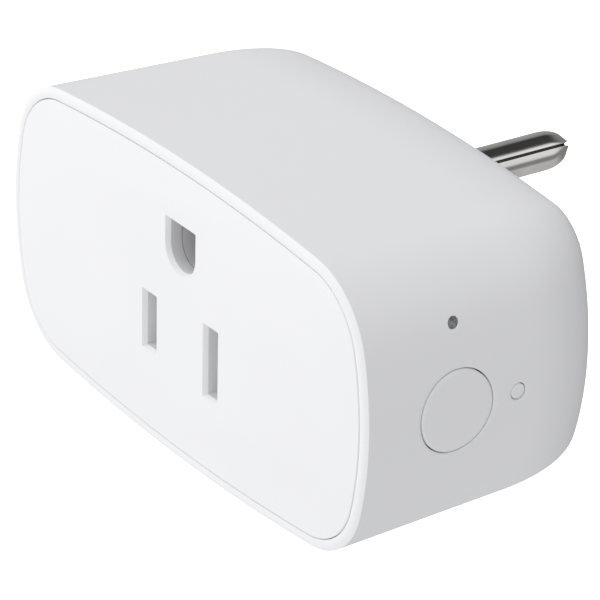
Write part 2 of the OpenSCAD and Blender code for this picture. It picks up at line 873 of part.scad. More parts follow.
module status_led() {
    color("white") span([switch_x, button_y - 0.8, light_z - 0.5],
        [switch_x + 0.6, button_y + 0.8, light_z + 0.5]);
    color("khaki") rod_x(switch_x + 0.5, switch_x + 1.0, 0.8, button_y, light_z);
}

housing_shell();
front_plate();
main_button();
reset_button();
light_pipe();
contact_carrier();
carrier_cap();
shutter();
shutter_spring();
hot_contact();
neutral_contact();
ground_contact();
hot_blade();
neutral_blade();
ground_pin();
blade_retainer();
retainer_screws();
ground_strap();
case_screws();
main_board();
relay_base();
relay_cover();
relay_bobbin();
relay_winding();
relay_yoke();
relay_armature();
relay_terminals();
film_capacitor();
varistor();
fuse();
electrolytic_capacitors();
inductor_core();
inductor_winding();
transformer_core();
transformer_bobbin();
transformer_winding();
bridge_rectifier();
power_chip();
metering_chip();
current_shunt();
small_chips();
control_board();
radio_shield();
antenna_trace();
header_pins();
main_switch_body();
main_switch_plunger();
reset_switch_body();
reset_switch_plunger();
status_led();
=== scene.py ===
# Looks for the plug-through energy meter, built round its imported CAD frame.
# Lengths are in millimetres in the shape code and become metres when a mesh is made.
import json
import math
import bmesh
import bpy
import numpy as np
from mathutils import Matrix, Vector


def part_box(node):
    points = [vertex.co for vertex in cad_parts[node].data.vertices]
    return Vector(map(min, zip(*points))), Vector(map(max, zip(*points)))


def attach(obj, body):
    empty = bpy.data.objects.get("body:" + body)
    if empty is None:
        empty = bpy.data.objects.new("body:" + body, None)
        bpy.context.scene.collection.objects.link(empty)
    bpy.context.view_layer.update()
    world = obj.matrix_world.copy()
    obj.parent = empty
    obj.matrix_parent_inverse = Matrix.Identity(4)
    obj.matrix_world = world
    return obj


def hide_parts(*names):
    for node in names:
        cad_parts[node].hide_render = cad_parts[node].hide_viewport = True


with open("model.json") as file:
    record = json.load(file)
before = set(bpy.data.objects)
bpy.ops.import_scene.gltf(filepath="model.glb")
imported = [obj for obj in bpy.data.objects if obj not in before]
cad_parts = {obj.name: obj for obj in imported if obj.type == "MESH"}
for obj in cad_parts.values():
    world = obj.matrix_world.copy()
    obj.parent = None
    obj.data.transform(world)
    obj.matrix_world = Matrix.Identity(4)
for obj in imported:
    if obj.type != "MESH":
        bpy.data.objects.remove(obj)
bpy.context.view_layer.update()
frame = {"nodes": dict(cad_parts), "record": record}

MM = 0.001


def cad(node):
    """Lowest and highest corner of a CAD node, in millimetres."""
    low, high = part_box(node)
    return np.array(low) / MM, np.array(high) / MM


# ---------- sizes, from the CAD frame and the few radii that its boxes don't show ----------
shell_low, shell_high = cad("housing_shell")
FRONT_Y = shell_low[1]
DEPTH = shell_high[1] - shell_low[1]
# the outline's radii, and how far the sides and the top come in for each millimetre behind the socket face
CORNER_R, BOW_TOP_R, BOW_SIDE_R = 10.4, 273.0, 38.4
TAPER_W, TAPER_H = 0.048, 0.031
# the rounding at the rear: its depth, and how far it takes the sides and the top in
REAR_D, REAR_X, REAR_Z = 10.6, 4.7, 1.95
# the rim round the face plate: its width, the width that is rounded and how far that drops
RIM_W, RIM_ROUND_W, RIM_DROP = 1.37, 0.95, 0.4
HALF_W = shell_high[0] + TAPER_W * RIM_DROP
HALF_H = shell_high[2] + TAPER_H * RIM_DROP
# thickness of the side walls, the back wall and the face plate
WALL, BACK_WALL, PLATE_T = 2.0, 2.2, 2.0

# the outlet: slots and ground hole, with the bevel that leads into them
SLOT_X, SLOT_Z = 6.35, -3.82
SLOT_W, HOT_H, NEUTRAL_H = 2.46, 6.95, 8.64
LEAD_IN, LEAD_IN_D = 0.3, 0.57
GROUND_Z, GROUND_R, GROUND_TOP, GROUND_DROP = 8.07, 2.8, 2.55, 0.34

# the controls on the right side
BUTTON_Y, BUTTON_Z, BUTTON_R = FRONT_Y + 12.38, 0.15, 5.0
RESET_Y, RESET_R = FRONT_Y + 20.8, 1.025
LIGHT_Z, LIGHT_R = 10.25, 0.7

# the plug: blades as (x, height), the pin, and what they are clamped by behind the back wall
BLADES = {"hot": (-SLOT_X, 6.35), "neutral": (SLOT_X, 7.94)}
BLADE_T = 1.52
BLADE_TIP = cad("neutral_blade")[1][1]
PIN_TIP = cad("ground_pin")[1][1]
PIN_R, PIN_SEAM = 2.325, math.radians(32)
FLANGE_LOW, FLANGE_HIGH = -3.4, -2.25

# the case screws, in the corners of the back face
SCREW_HEAD_R, SCREW_HEAD_Y = 2.1, -11.2
SCREW_X = cad("case_screws")[1][0] - SCREW_HEAD_R
SCREW_Z = cad("case_screws")[1][2] - SCREW_HEAD_R
SCREW_PLACES = [(x, z) for x in (-SCREW_X, SCREW_X) for z in (-SCREW_Z, SCREW_Z)]
SCREW_RECESS_R = 2.3

# how finely things are divided: a quarter of the outline (side, corner, top), circles, and rounded edges
QUARTER_STEPS = (14, 22, 26)
ROUND_STEPS, HOLE_STEPS = 72, 48
EDGE_ANGLES = np.radians([0, 30, 60, 90])


# ---------- mesh helpers ----------
def new_object(name, points, faces):
    mesh = bpy.data.meshes.new(name)
    mesh.from_pydata([tuple(np.asarray(p) * MM) for p in points], [], faces)
    mesh.validate()
    obj = bpy.data.objects.new(name, mesh)
    bpy.context.scene.collection.objects.link(obj)
    return obj


def loft(name, rings):
    """A closed solid through rings of equal length, with a flat cap at each end."""
    n = len(rings[0])
    points = np.concatenate(rings)
    faces = [tuple(range(n)), tuple(reversed(range((len(rings) - 1) * n, len(rings) * n)))]
    for j in range(len(rings) - 1):
        for i in range(n):
            k = (i + 1) % n
            faces.append((j * n + i, (j + 1) * n + i, (j + 1) * n + k, j * n + k))
    obj = new_object(name, points, faces)
    face_outward(obj)
    return obj


def face_outward(obj):
    bm = bmesh.new()
    bm.from_mesh(obj.data)
    bmesh.ops.recalc_face_normals(bm, faces=bm.faces)
    bm.to_mesh(obj.data)
    bm.free()


def soften(obj, angle=32):
    """Smooth shading, with an edge kept sharp where its faces turn by more than the angle."""
    bm = bmesh.new()
    bm.from_mesh(obj.data)
    limit = math.radians(angle)
    for face in bm.faces:
        face.smooth = True
    for edge in bm.edges:
        edge.smooth = len(edge.link_faces) == 2 and edge.calc_face_angle(0) < limit
    bm.to_mesh(obj.data)
    bm.free()
    return obj


def bake(obj):
    """Applies the object's modifiers."""
    mesh = bpy.data.meshes.new_from_object(obj.evaluated_get(bpy.context.evaluated_depsgraph_get()))
    obj.modifiers.clear()
    obj.data = mesh
    mesh.name = obj.name


def cut(obj, others):
    """Takes every object of a list out of obj, and uses them up."""
    group = bpy.data.collections.new(obj.name + "_tools")
    for other in others:
        group.objects.link(other)
    mod = obj.modifiers.new("cut", "BOOLEAN")
    mod.operation = "DIFFERENCE"
    mod.solver = "EXACT"
    mod.operand_type = "COLLECTION"
    mod.collection = group
    bake(obj)
    for other in others:
        bpy.data.objects.remove(other)
    bpy.data.collections.remove(group)


def arc(center, r, a0, a1, n, last=False):
    """Points of an arc from a0 to a1 in radians; the last one is left out unless asked for."""
    t = np.linspace(a0, a1, n + 1)[: n + (1 if last else 0)]
    return np.stack([center[0] + r * np.cos(t), center[1] + r * np.sin(t)], 1)


def circle(r, steps):
    """Two columns of points round a circle."""
    t = np.linspace(0, 2 * math.pi, steps, endpoint=False)
    return r * np.cos(t), r * np.sin(t)


def turned(name, profile, x, z, steps=ROUND_STEPS):
    """A solid of revolution from (y, radius) pairs, round the line along Y through (x, z)."""
    rings = []
    for y, r in profile:
        across, up = circle(r, steps)
        rings.append(np.stack([across + x, np.full(steps, y), up + z], 1))
    return loft(name, rings)


def box_solid(name, low, high):
    """A box between two corners."""
    corners = [(x, y, z) for x in (low[0], high[0]) for y in (low[1], high[1]) for z in (low[2], high[2])]
    faces = [(0, 1, 3, 2), (4, 6, 7, 5), (0, 4, 5, 1), (2, 3, 7, 6), (0, 2, 6, 4), (1, 5, 7, 3)]
    obj = new_object(name, corners, faces)
    face_outward(obj)
    return obj


def join(name, objects):
    """One object from several, which are used up."""
    bm = bmesh.new()
    for obj in objects:
        bm.from_mesh(obj.data)
        bpy.data.objects.remove(obj)
    mesh = bpy.data.meshes.new(name)
    bm.to_mesh(mesh)
    bm.free()
    obj = bpy.data.objects.new(name, mesh)
    bpy.context.scene.collection.objects.link(obj)
    return obj


# ---------- the body's surface ----------
def outline(half_w, half_h, k):
    """A bowed rectangle with round corners, counter-clockwise from (half_w, 0).

    k is taken off each radius. The corner's centre is where circles round the two bows' centres meet.
    """
    r, r_top, r_side = CORNER_R - k, BOW_TOP_R - k, BOW_SIDE_R - k
    top, side = np.array([0, half_h - r_top]), np.array([half_w - r_side, 0])
    d = np.linalg.norm(side - top)
    e = (side - top) / d
    t = ((r_top - r) ** 2 - (r_side - r) ** 2 + d * d) / (2 * d)
    corner = top + t * e + math.sqrt((r_top - r) ** 2 - t * t) * np.array([e[1], -e[0]])
    a_side = math.atan2(corner[1], corner[0] - side[0])
    a_top = math.atan2(corner[1] - top[1], corner[0])
    n_side, n_corner, n_top = QUARTER_STEPS
    q = np.concatenate([
        arc(side, r_side, 0, a_side, n_side),
        arc(corner, r, a_side, a_top, n_corner),
        arc(top, r_top, a_top, math.pi / 2, n_top, last=True),
    ])
    return np.concatenate([q, q[-2::-1] * [-1, 1], -q[1:], q[-2:0:-1] * [1, -1]])


def section(s, k, x=0.0, z=0.0):
    """The body's outline at depth s behind the socket face, inset by k all round, and by x and z more."""
    dx, dz = k + TAPER_W * s + x, k + TAPER_H * s + z
    return outline(HALF_W - dx, HALF_H - dz, (dx + dz) / 2)


def ring(s, k, x=0.0, z=0.0):
    """The same outline as points in space."""
    flat = section(s, k, x, z)
    return np.stack([flat[:, 0], np.full(len(flat), FRONT_Y + s), flat[:, 1]], 1)


def side_x(y, z):
    """x of the right side's outer surface."""
    s = y - FRONT_Y
    r = BOW_SIDE_R - (TAPER_W + TAPER_H) / 2 * s
    return HALF_W - TAPER_W * s - r + np.sqrt(r * r - z * z)


# ---------- casing ----------
def round_the_side(y, z, r, lift):
    """A circle of points along X, lifted off the bowed side."""
    across, up = circle(r, ROUND_STEPS * 2)
    return np.stack([side_x(y + across, z + up) + lift, y + across, z + up], 1)


def bore_cutter(name, y, z, r, edge=0.12):
    """A round cutter along X that also rounds the hole's mouth where it meets the bowed side."""
    depth, height = 6.0, 1.5
    steps = [(0, -depth)]
    steps += [(edge * (1 - math.cos(a)), -edge * (1 - math.sin(a))) for a in EDGE_ANGLES]
    steps += [(edge, height)]
    return loft(name, [round_the_side(y, z, r + grow, lift) for grow, lift in steps])


def side_cap(name, y, z, r, edge, foot, drop=0.0):
    """A round cap along X whose face follows the bowed side; foot is [(x, radius)] behind the face."""
    middle = 0.12
    rings = [round_the_side(y, z, rho, -drop) for rho in np.linspace(middle, r - edge, 10)]
    for a in EDGE_ANGLES[1:]:
        rings.append(round_the_side(y, z, r - edge + edge * math.sin(a), -edge * (1 - math.cos(a)) - drop))
    for x, rho in foot:
        across, up = circle(rho, ROUND_STEPS * 2)
        rings.append(np.stack([np.full(len(up), x), y + across, z + up], 1))
    return loft(name, rings)


def flared_hole(name, r, flare, depth, x, z):
    """A round cutter into the back face, wider at its mouth."""
    above = 1
    return turned(name, [(-depth, r), (-flare, r), (0, r + flare), (above, r + flare)], x, z)


def make_shell():
    """Rings run from the inside of the back wall forward, over the rim, and back along the outside."""
    round_start, inner_end = DEPTH - REAR_D, DEPTH - BACK_WALL
    inner_turn, inner_x, inner_z = 75, REAR_X - 1.6, 1.1
    seat_w, groove_edge, rim_set_back = 0.6, 0.14, 0.06
    rings = []
    for a in np.radians(np.linspace(inner_turn, 0, 9)):
        s = round_start + (inner_end - round_start) * math.sin(a) / math.sin(math.radians(inner_turn))
        rings.append(ring(s, WALL, inner_x * (1 - math.cos(a)), inner_z * (1 - math.cos(a))))
    rings += [ring(PLATE_T, WALL + seat_w), ring(PLATE_T, RIM_W)]
    for a in EDGE_ANGLES:
        s = groove_edge * (1 - math.sin(a)) + rim_set_back
        rings.append(ring(s, RIM_W - groove_edge * (1 - math.cos(a))))
    for t in np.linspace(0, 1, 9):
        rings.append(ring(rim_set_back + (RIM_DROP - rim_set_back) * t * t, RIM_ROUND_W * (1 - t)))
    rings.append(ring(RIM_DROP + 0.12, 0))
    rings += [ring(s, 0) for s in np.linspace(RIM_DROP + 0.5, round_start, 24)]
    for a in np.radians(np.linspace(0, 90, 19))[1:]:
        in_x, in_z = REAR_X * (1 - math.cos(a)), REAR_Z * (1 - math.cos(a))
        rings.append(ring(round_start + REAR_D * math.sin(a), 0, in_x, in_z))
    shell = loft("casing_shell", rings)

    tools = [
        bore_cutter("t_button", BUTTON_Y, BUTTON_Z, BUTTON_R),
        bore_cutter("t_reset", RESET_Y, BUTTON_Z, RESET_R, 0.08),
        bore_cutter("t_light", BUTTON_Y, LIGHT_Z, LIGHT_R, 0.06),
        flared_hole("t_pin", 2.4, 0.25, 4, 0, GROUND_Z),
    ]
    hole_x, hole_room = 0.82, 0.06
    for x, w in BLADES.values():
        half = w / 2 + hole_room
        tools.append(box_solid("t_blade", (x - hole_x, -4, SLOT_Z - half), (x + hole_x, 1, SLOT_Z + half)))
    for x, z in SCREW_PLACES:
        tools.append(flared_hole("t_screw", SCREW_RECESS_R, 0.3, 3, x, z))
    cut(shell, tools)

    boss_r, shank_hole_r = 3.0, 1.3
    bosses = []
    for x, z in SCREW_PLACES:
        boss = turned("boss", [(-14.2, boss_r), (-1.6, boss_r)], x, z)
        recess = turned("t", [(SCREW_HEAD_Y, SCREW_RECESS_R), (1, SCREW_RECESS_R)], x, z)
        cut(boss, [recess, turned("t", [(-16, shank_hole_r), (1, shank_hole_r)], x, z)])
        bosses.append(boss)
    return soften(join("casing_shell", [shell] + bosses))


# ---------- front plate ----------
def slot_outline(x, h, g):
    """A slot's rectangle grown by g, with small round corners."""
    r = 0.07 + g * 0.3
    w2, h2 = SLOT_W / 2 + g, h / 2 + g
    corners = [(w2 - r, h2 - r, 0), (-w2 + r, h2 - r, 90), (-w2 + r, -h2 + r, 180), (w2 - r, -h2 + r, 270)]
    parts = []
    for cx, cz, a in corners:
        parts.append(arc((x + cx, SLOT_Z + cz), r, math.radians(a), math.radians(a + 90), 6, last=True))
    return np.concatenate(parts)


def ground_outline(g):
    """The ground hole grown by g: round below and flat on top, with small corners."""
    r, corner = GROUND_R + g, 0.12 + g * 0.3
    z0, top = GROUND_Z - GROUND_DROP, GROUND_Z + GROUND_TOP + g
    return np.concatenate([
        arc((0, z0), r, math.pi, 2 * math.pi, 44, last=True),
        arc((r - corner, top - corner), corner, 0, math.pi / 2, 8, last=True),
        arc((-r + corner, top - corner), corner, math.pi / 2, math.pi, 8, last=True),
    ])


def opening_cutter(shape):
    """A cutter through the plate with a lead-in that narrows from the front face."""
    mouth = LEAD_IN + 0.03
    rings = []
    for s, g in [(-1.0, mouth), (-0.001, mouth), (0.04, LEAD_IN), (LEAD_IN_D, 0.0), (PLATE_T + 1, 0.0)]:
        flat = shape(g)
        rings.append(np.stack([flat[:, 0], np.full(len(flat), FRONT_Y + s), flat[:, 1]], 1))
    return loft("t_opening", rings)


def make_plate():
    """The face plate, and the four posts behind it that the case screws hold."""
    gap, edge, draft = 0.09, 0.18, 0.06
    k = RIM_W + gap
    rings = []
    for a in EDGE_ANGLES:
        rings.append(ring(0, k + edge * (1 - math.sin(a))) + [0, edge * (1 - math.cos(a)), 0])
    rings += [ring(0, k) + [0, 1.0, 0], ring(0, k + draft) + [0, PLATE_T, 0]]
    plate = loft("face_plate", rings)
    cut(plate, [
        opening_cutter(lambda g: slot_outline(-SLOT_X, HOT_H, g)),
        opening_cutter(lambda g: slot_outline(SLOT_X, NEUTRAL_H, g)),
        opening_cutter(ground_outline),
    ])
    back, hole_r = FRONT_Y + PLATE_T, 1.1
    posts = []
    for x, z in SCREW_PLACES:
        post = turned("post", [(back - 0.05, 2.7), (back + 0.5, 2.4), (-14.5, 2.35), (-14.3, 2.15)], x, z)
        cut(post, [turned("t", [(-26, hole_r), (0, hole_r)], x, z)])
        posts.append(post)
    return soften(join("face_plate", [plate] + posts), 20)


# ---------- blades, pin and screws ----------
def make_pin():
    """A pin rolled from sheet: a seam along it, whose two edges stand proud at the rounded nose."""
    steps, nose, tip_r, lip = 160, 3.0, 0.95, 0.85
    shaft = PIN_TIP - nose
    u = np.linspace(-1, 1, steps, endpoint=False)
    away = np.abs(math.pi * (0.22 * u + 0.78 * u ** 3))
    t = PIN_SEAM + np.sign(u) * away
    rings = []

    def add(y, r, depth=0.0, half_width=0.1, notch=0.0):
        """One ring, with the seam pressed in by depth and the seam's end moved back by notch."""
        groove = 1 / (1 + (away * r / half_width) ** 6)
        rho = r - depth * groove
        rings.append(np.stack([rho * np.cos(t), y - notch * groove, rho * np.sin(t) + GROUND_Z], 1))

    tail_r, flange_r, neck_r = 1.5, 3.55, 1.95
    add(-6.6, tail_r)
    add(FLANGE_LOW - 0.05, tail_r)
    add(FLANGE_LOW, flange_r)
    add(FLANGE_HIGH - 0.05, flange_r + 0.05)
    add(FLANGE_HIGH, neck_r)
    add(0.3, neck_r)
    add(0.31, PIN_R - 0.025)
    for y in np.linspace(0.4, shaft, 30):
        add(y, PIN_R, 0.5)
    tip = tip_r + lip * np.exp(-(away / 0.4) ** 2)
    for a in np.radians(np.linspace(0, 88, 24))[1:]:
        opened = max(0.0, math.sin(a) - 0.7) / 0.3
        r = tip + (PIN_R - tip) * math.cos(a)
        add(shaft + nose * math.sin(a), r, 0.5 + 0.3 * opened, 0.1 + 0.09 * opened, 0.5 * opened)
    for shrink, back in [(0.9, 0.01), (0.6, 0.09), (0.25, 0.14)]:
        add(PIN_TIP - back, tip * shrink, 0.1, 0.2, 0.45 * shrink)
    return soften(loft("pin_round", rings), 50)


def make_blade(name, x, w):
    """A stamped blade: round edges, a cut nose, a punched hole, a shoulder and a tail."""
    edge, nose, shoulder = 0.16, 1.35, 1.2
    tail_y, tail_h, half = -10.6, 2.0, w / 2
    lower = [
        (tail_y, -tail_h), (FLANGE_LOW, -tail_h),
        (FLANGE_LOW, -half - shoulder), (FLANGE_HIGH, -half - shoulder),
        (FLANGE_HIGH, -half), (BLADE_TIP - nose, -half), (BLADE_TIP, -half + nose),
    ]
    flat = np.array(lower + [(y, -z) for y, z in reversed(lower)])
    rings = []
    for side in (-1, 1):
        across = np.full(len(flat), x + side * BLADE_T / 2)
        rings.append(np.stack([across, flat[:, 0], flat[:, 1] + SLOT_Z], 1))
    blade = loft(name, rings)

    hole_y = BLADE_TIP - 4.4
    half_hole = [(0.64, 1.6), (0.76, 1.75), (1.5, 1.85)]
    rings = []
    for dx, r in [(-dx, r) for dx, r in reversed(half_hole)] + half_hole:
        across, up = circle(r, HOLE_STEPS)
        rings.append(np.stack([np.full(HOLE_STEPS, x + dx), hole_y + across, SLOT_Z + up], 1))
    cut(blade, [loft("t_hole", rings)])
    mod = blade.modifiers.new("edge", "BEVEL")
    mod.width = edge * MM
    mod.segments = 3
    mod.limit_method = "ANGLE"
    mod.angle_limit = math.radians(50)
    bake(blade)
    return soften(blade, 35)


def make_screws():
    """Pan-head case screws with a three-sided security recess and a thread."""
    y, pitch, turns = SCREW_HEAD_Y, 0.55, 22
    crest_r, root_r, thread_y = 1.06, 0.84, -23.8
    head = [(y, 1.2), (y, 1.95), (y + 0.15, SCREW_HEAD_R), (y + 1.1, SCREW_HEAD_R)]
    for a in np.radians([25, 50, 70, 90]):
        head.append((y + 1.1 + 0.8 * math.sin(a), SCREW_HEAD_R - 0.9 * (1 - math.cos(a))))
    thread = [(-24.5, 0.3), (-24.1, 0.75)]
    for i in range(turns):
        along = thread_y + i * pitch
        thread += [(along, crest_r), (along + 0.06, crest_r), (along + 0.25, root_r), (along + 0.38, root_r)]
    thread += [(y + 0.05, 0.9)]
    screws = []
    for x, z in SCREW_PLACES:
        body = turned("head", head, x, z, steps=48)
        cut(body, [turned("t", [(y + 0.7, 1.15), (y + 2.5, 1.25)], x, z, steps=3)])
        screws += [body, turned("thread", thread, x, z, steps=32)]
    return soften(join("case_screw_set", screws), 35)


# ---------- shader node helpers ----------
def calc(tree, operation, a, b=None):
    """The result of a maths node whose inputs are numbers or other nodes' outputs."""
    node = tree.nodes.new("ShaderNodeMath")
    node.operation = operation
    for socket, value in zip(node.inputs, (a, b)):
        if isinstance(value, (int, float)):
            socket.default_value = value
        elif value is not None:
            tree.links.new(value, socket)
    return node.outputs[0]


def mapped(tree, value, source, target=(0.0, 1.0), smooth=False):
    """A value taken from one range to another, and held at both ends."""
    node = tree.nodes.new("ShaderNodeMapRange")
    if smooth:
        node.interpolation_type = "SMOOTHSTEP"
    node.inputs["From Min"].default_value, node.inputs["From Max"].default_value = source
    node.inputs["To Min"].default_value, node.inputs["To Max"].default_value = target
    tree.links.new(value, node.inputs["Value"])
    return node.outputs["Result"]


def ramp(tree, value, stops):
    """The colour at a value, between (place, colour) stops."""
    node = tree.nodes.new("ShaderNodeValToRGB")
    elements = node.color_ramp.elements
    while len(elements) < len(stops):
        elements.new(0.5)
    for element, (place, color) in zip(elements, stops):
        element.position = place
        element.color = (*color, 1.0)
    tree.links.new(value, node.inputs["Fac"])
    return node.outputs["Color"]


def axes(tree, vector):
    """The X, Y and Z outputs of a vector."""
    node = tree.nodes.new("ShaderNodeSeparateXYZ")
    tree.links.new(vector, node.inputs[0])
    return node.outputs


# ---------- materials ----------
class Paint:
    """A Principled material whose colour, roughness and bump can vary over the object's own coordinates."""

    def __init__(self, name, rough, metallic=0.0, **sockets):
        self.mat = bpy.data.materials.new(name)
        self.mat.use_nodes = True
        self.tree = self.mat.node_tree
        self.nodes, self.links = self.tree.nodes, self.tree.links
        self.shader = self.nodes["Principled BSDF"]
        self.shader.inputs["Metallic"].default_value = metallic
        self.shader.inputs["Roughness"].default_value = rough
        for socket, value in sockets.items():
            self.shader.inputs[socket.replace("_", " ")].default_value = value
        self.coords = self.nodes.new("ShaderNodeTexCoord").outputs["Object"]
        self.height = None

    def stretched(self, x=1.0, y=1.0, z=1.0):
        node = self.nodes.new("ShaderNodeMapping")
        node.inputs["Scale"].default_value = (x, y, z)
        self.links.new(self.coords, node.inputs["Vector"])
        return node.outputs["Vector"]

    def noise(self, size_mm, detail=3.0, vector=None):
        """Noise whose features are about size_mm across."""
        node = self.nodes.new("ShaderNodeTexNoise")
        node.inputs["Scale"].default_value = 1.0 / (size_mm * MM)
        node.inputs["Detail"].default_value = detail
        self.links.new(vector or self.coords, node.inputs["Vector"])
        return node.outputs["Fac"]

    def wave(self, pitch_mm, direction="Z", distort=0.0):
        node = self.nodes.new("ShaderNodeTexWave")
        node.bands_direction = direction
        node.wave_profile = "SIN"
        node.inputs["Scale"].default_value = 0.314 / (pitch_mm * MM)
        node.inputs["Distortion"].default_value = distort
        self.links.new(self.coords, node.inputs["Vector"])
        return node.outputs["Fac"]

    def seam_shade_mask(self):
        """1 in the seam groove of the rolled pin, where painted shade goes, and 0 elsewhere."""
        half_width, least_r = 0.105, 0.5
        node = self.nodes.new("ShaderNodeMapping")
        node.inputs["Rotation"].default_value = (0, PIN_SEAM, 0)
        node.inputs["Location"].default_value = (
            -GROUND_Z * MM * math.sin(PIN_SEAM), 0, -GROUND_Z * MM * math.cos(PIN_SEAM))
        self.links.new(self.coords, node.inputs["Vector"])
        turned_axes = axes(self.tree, node.outputs["Vector"])
        beside = calc(self.tree, "ABSOLUTE", turned_axes["Z"])
        near = calc(self.tree, "LESS_THAN", beside, half_width * MM)
        outside = calc(self.tree, "GREATER_THAN", turned_axes["X"], least_r * MM)
        return calc(self.tree, "MULTIPLY", near, outside)

    def beyond_y(self, y, soft):
        """0 in front of the plane at y and 1 behind it."""
        return mapped(self.tree, axes(self.tree, self.coords)["Y"], (y * MM, (y + soft) * MM))

    def lifted(self, tone, mask):
        """A tone squeezed into 0 to 0.5, and lifted by 0.5 where the mask is 1."""
        lower = mapped(self.tree, tone, (0.0, 1.0), (0.0, 0.5))
        return calc(self.tree, "ADD", lower, calc(self.tree, "MULTIPLY", mask, 0.5))

    def colors(self, value, stops):
        self.links.new(ramp(self.tree, value, stops), self.shader.inputs["Base Color"])

    def rough(self, value, low, high):
        self.links.new(mapped(self.tree, value, (0.0, 1.0), (low, high)), self.shader.inputs["Roughness"])

    def bump(self, value, depth_mm, strength=1.0):
        """Stacks one more bump, depth_mm high, on those before it."""
        node = self.nodes.new("ShaderNodeBump")
        node.inputs["Strength"].default_value = strength
        node.inputs["Distance"].default_value = depth_mm * MM
        self.links.new(value, node.inputs["Height"])
        if self.height:
            self.links.new(self.height, node.inputs["Normal"])
        self.height = node.outputs["Normal"]
        self.links.new(self.height, self.shader.inputs["Normal"])


def shade(color, factor):
    return tuple(min(1.0, c * factor) for c in color)


def moulded(name, color, rough=0.5, grain_mm=0.28, depth_mm=0.004, vary=0.02, recess=1.0):
    """Moulded plastic: a spark-eroded grain, faint flow marks, an uneven sheen, and painted shade on the
    openings' walls at recess times the colour.
    """
    paint = Paint(name, rough)
    # painted shade: behind the lead-in, the walls of the openings take the colour times recess
    tone = paint.lifted(paint.noise(26.0, 2.0), paint.beyond_y(FRONT_Y + LEAD_IN_D, 0.06))
    darker, opening_shade = shade(color, 1 - vary), shade(color, recess)
    paint.colors(tone, [(0.15, darker), (0.35, color), (0.5, color), (0.75, opening_shade)])
    paint.rough(paint.noise(5.0, 4.0), rough - 0.05, rough + 0.05)
    paint.bump(paint.noise(grain_mm, 2.0), depth_mm)
    paint.bump(paint.noise(14.0, 1.0), 0.03, 0.25)
    return paint.mat


def drawn_metal(name, color, rough, stretch, vary=0.08, seam=False):
    """Plated or drawn metal: fine streaks along the way it was worked, and painted shade in the seam groove
    if it has one.
    """
    paint = Paint(name, rough, metallic=1.0)
    streak = paint.noise(0.25, 4.0, paint.stretched(*stretch))
    cloud = paint.noise(3.0, 3.0)
    stops = [(0.15, shade(color, 1 - vary)), (0.35, color)]
    if seam:
        # painted shade: the seam groove darkened to 0.15 of the colour
        tone = paint.lifted(cloud, paint.seam_shade_mask())
        stops += [(0.5, color), (0.62, shade(color, 0.15))]
    else:
        tone = mapped(paint.tree, cloud, (0.0, 1.0), (0.0, 0.5))
    paint.colors(tone, stops)
    paint.rough(streak, rough - 0.07, rough + 0.07)
    paint.bump(streak, 0.003)
    return paint.mat


def sheet_metal(name, color, rough=0.28):
    paint = Paint(name, rough, metallic=1.0)
    paint.colors(paint.noise(2.0, 5.0), [(0.3, shade(color, 0.82)), (0.7, color)])
    paint.rough(paint.noise(0.6, 3.0), rough - 0.08, rough + 0.1)
    paint.bump(paint.noise(0.35, 2.0, paint.stretched(1, 0.08, 1)), 0.003)
    return paint.mat


def circuit_board(name, color):
    """Solder mask over a weave of glass cloth, with lighter stripes where copper runs under it."""
    paint = Paint(name, 0.34, Coat_Weight=0.25, Coat_Roughness=0.2)
    runs = paint.nodes.new("ShaderNodeTexBrick")
    runs.inputs["Scale"].default_value = 110.0
    runs.inputs["Mortar Size"].default_value = 0.03
    runs.inputs["Color1"].default_value = (*color, 1)
    runs.inputs["Color2"].default_value = (*shade(color, 1.25), 1)
    runs.inputs["Mortar"].default_value = (*shade(color, 0.6), 1)
    turn = paint.nodes.new("ShaderNodeMapping")
    turn.inputs["Rotation"].default_value = (math.radians(90), 0, math.radians(7))
    paint.links.new(paint.coords, turn.inputs["Vector"])
    paint.links.new(turn.outputs["Vector"], runs.inputs["Vector"])
    paint.links.new(runs.outputs["Color"], paint.shader.inputs["Base Color"])
    paint.bump(paint.wave(0.5, "X"), 0.006)
    paint.bump(paint.wave(0.5, "Z"), 0.006)
    paint.rough(paint.noise(1.2), 0.28, 0.42)
    return paint.mat


def wound_wire(name, color, pitch_mm, direction):
    """Enamelled wire: its turns as ridges, with painted shade in the grooves between them."""
    paint = Paint(name, 0.3, metallic=0.7, Coat_Weight=0.4)
    turns = paint.wave(pitch_mm, direction, 0.25)
    # painted shade: the grooves between the turns darkened to 0.35 of the colour
    paint.colors(turns, [(0.1, shade(color, 0.35)), (0.6, color)])
    paint.bump(turns, pitch_mm * 0.4)
    paint.rough(paint.noise(0.8), 0.25, 0.4)
    return paint.mat


def wrapped_tape(name, color):
    paint = Paint(name, 0.25, Coat_Weight=0.5)
    paint.colors(paint.noise(4.0), [(0.35, shade(color, 0.85)), (0.65, color)])
    paint.bump(paint.wave(2.4, "Z"), 0.02, 0.6)
    paint.bump(paint.noise(1.6, 2.0), 0.02, 0.5)
    return paint.mat


def dull_core(name, color):
    paint = Paint(name, 0.62, metallic=0.35)
    paint.colors(paint.noise(0.7, 5.0), [(0.3, shade(color, 0.75)), (0.7, shade(color, 1.3))])
    paint.bump(paint.wave(0.5, "Z"), 0.01, 0.5)
    paint.bump(paint.noise(0.2, 3.0), 0.01)
    return paint.mat


def light_glass(name):
    """A smoked window with the mottled end of the light pipe showing through it."""
    paint = Paint(name, 0.22, Coat_Weight=0.6, Coat_Roughness=0.08)
    paint.colors(paint.noise(0.55, 2.0), [(0.35, (0.075, 0.075, 0.078)), (0.62, (0.23, 0.23, 0.235))])
    paint.bump(paint.noise(0.3, 2.0), 0.003)
    return paint.mat


